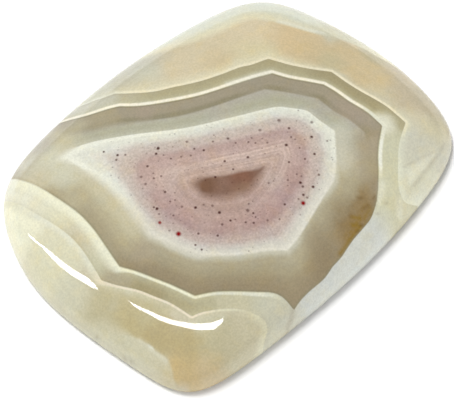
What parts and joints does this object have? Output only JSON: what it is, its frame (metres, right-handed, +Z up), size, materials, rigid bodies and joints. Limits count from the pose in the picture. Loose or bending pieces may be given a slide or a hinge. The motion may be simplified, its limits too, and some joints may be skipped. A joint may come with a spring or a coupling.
{
  "type": "agate cabochon",
  "caption": "Polished cushion-shaped agate stone with a low dome and a flat back; lies flat or is set by its back.",
  "frame": {"origin": "middle of the flat back, which is the stone's lowest face", "axes": "+X along the stone's length, +Y across it, +Z up through the dome"},
  "size_m": [0.04, 0.0301, 0.006],
  "materials": {
    "agate": "polished"
  },
  "bodies": {
    "root": {"agate_cabochon": "agate"}
  },
  "joints": []
}
